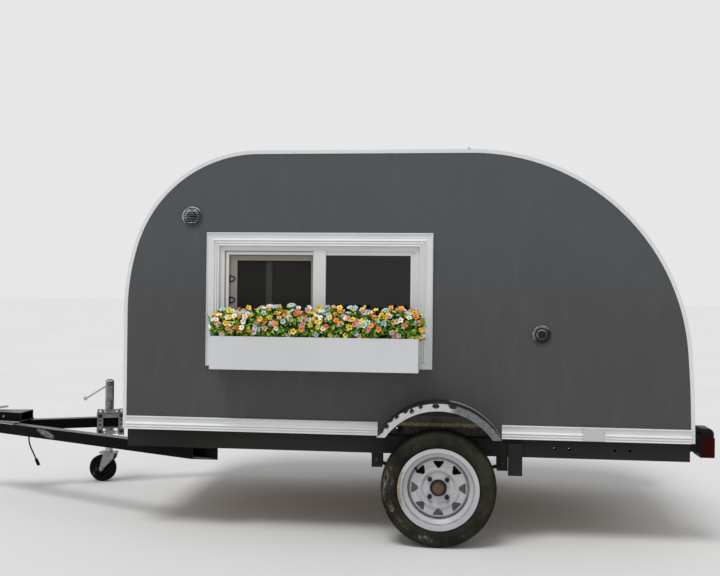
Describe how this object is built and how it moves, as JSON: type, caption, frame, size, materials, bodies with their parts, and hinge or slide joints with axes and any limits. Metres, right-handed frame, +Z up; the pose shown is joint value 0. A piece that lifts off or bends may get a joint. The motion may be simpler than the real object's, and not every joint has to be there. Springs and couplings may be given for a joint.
{
  "type": "teardrop camping trailer",
  "caption": "Small round-ended camping trailer on two wheels, with side window and planter, side door, rear hatch, A-frame tongue and a swing-away jack.",
  "frame": {"origin": "on the ground, under the middle of the whole trailer's box", "axes": "+X forward to the coupler, +Y to the trailer's left, which is the window side, +Z up"},
  "size_m": [3.6386, 1.543, 1.675],
  "materials": {
    "body_paint": "satin dark grey paint over plywood",
    "plywood": "bare plywood and lumber",
    "white_trim": "painted white moulding",
    "window_vinyl": "white vinyl",
    "screen_vinyl": "grey-brown vinyl",
    "white_board": "white painted board",
    "glass": "clear glass over a dark cabin",
    "planting": "leaves and small flowers",
    "body_grey_fitting": "painted as the body",
    "black_plastic": "black moulded plastic",
    "white_metal": "white coated",
    "zinc_steel": "galvanised, dull",
    "chassis_black": "worn black paint",
    "spring_steel": "dark, light rust",
    "fender_paint": "black with a peeling pale cover on the lip",
    "lamp_red": "dark red lens",
    "tyre": "worn",
    "wheel_white": "white paint with dirt",
    "hub_rusty": "rusty brown",
    "caster_rubber": "black",
    "cable_black": "black sheath"
  },
  "bodies": {
    "trailer": {"wall_left": "body_paint", "wall_right": "body_paint", "roof_shell": "body_paint", "rear_board": "body_paint", "floor_deck": "plywood", "side_joists": "plywood", "cross_joists": "plywood", "galley_counter": "plywood", "bulkheads": "plywood", "edge_trims": "white_trim", "sill_mouldings": "white_trim", "window_casing": "white_trim", "window_frame": "window_vinyl", "window_sash": "window_vinyl", "window_glass": "glass", "screen_frame": "screen_vinyl", "planter_box": "white_board", "planting": "planting", "round_vent": "body_grey_fitting", "power_inlet": "black_plastic", "door_stop": "white_trim", "door_frame": "white_trim", "hatch_hinge_roof": "white_metal", "rails": "chassis_black", "crossmembers": "chassis_black", "tongue_arm_left": "chassis_black", "tongue_arm_right": "chassis_black", "coupler": "chassis_black", "coupler_latch": "zinc_steel", "axle_beam": "chassis_black", "leaf_springs": "spring_steel", "spring_hangers": "chassis_black", "fenders": "fender_paint", "lamp_brackets": "chassis_black", "lamp_housings": "black_plastic", "lamp_lenses": "lamp_red", "rail_posts": "chassis_black", "jack_bracket": "zinc_steel", "lead": "cable_black", "lead_plug": "cable_black"},
    "wheel_left": {"tyre_left": "tyre", "rim_left": "wheel_white", "hub_left": "hub_rusty"},
    "wheel_right": {"tyre_right": "tyre", "rim_right": "wheel_white", "hub_right": "hub_rusty"},
    "door": {"door_leaf": "body_paint", "door_light_frame": "black_plastic", "door_glass": "glass", "door_handle": "black_plastic"},
    "hatch": {"hatch_panel": "body_paint", "hatch_hinge_leaf": "white_metal", "hatch_handle": "zinc_steel"},
    "jack": {"jack_body": "zinc_steel", "jack_crank": "zinc_steel"},
    "jack_leg": {"jack_leg": "zinc_steel"},
    "caster": {"caster_fork": "zinc_steel"},
    "caster_wheel": {"caster_wheel": "caster_rubber"}
  },
  "joints": [
    {"name": "wheel_left_spin", "type": "hinge", "parent": "trailer", "child": "wheel_left", "pos_m": [-0.6893, 0.6825, 0.24], "axis": [0, 1, 0], "continuous": true},
    {"name": "wheel_right_spin", "type": "hinge", "parent": "trailer", "child": "wheel_right", "pos_m": [-0.6893, -0.6825, 0.24], "axis": [0, 1, 0], "continuous": true},
    {"name": "door_swing", "type": "hinge", "parent": "trailer", "child": "door", "pos_m": [0.2597, -0.6175, 0.996], "axis": [0, 0, 1], "range_deg": [0, 105]},
    {"name": "hatch_lift", "type": "hinge", "parent": "trailer", "child": "hatch", "pos_m": [-0.8033, 0, 1.668], "axis": [0, 1, 0], "range_deg": [0, 80]},
    {"name": "jack_swing", "type": "hinge", "parent": "trailer", "child": "jack", "pos_m": [1.1077, -0.27605, 0.3365], "axis": [0.4226, -0.9063, 0], "range_deg": [0, 90]},
    {"name": "jack_slide", "type": "slide", "parent": "jack", "child": "jack_leg", "axis": [0, 0, 1], "range_m": [-0.13, 0.09]},
    {"name": "caster_swivel", "type": "hinge", "parent": "jack_leg", "child": "caster", "pos_m": [1.13128, -0.32663, 0.155], "axis": [0, 0, 1], "continuous": true},
    {"name": "caster_spin", "type": "hinge", "parent": "caster", "child": "caster_wheel", "pos_m": [1.16428, -0.32663, 0.072], "axis": [0, 1, 0], "continuous": true}
  ]
}
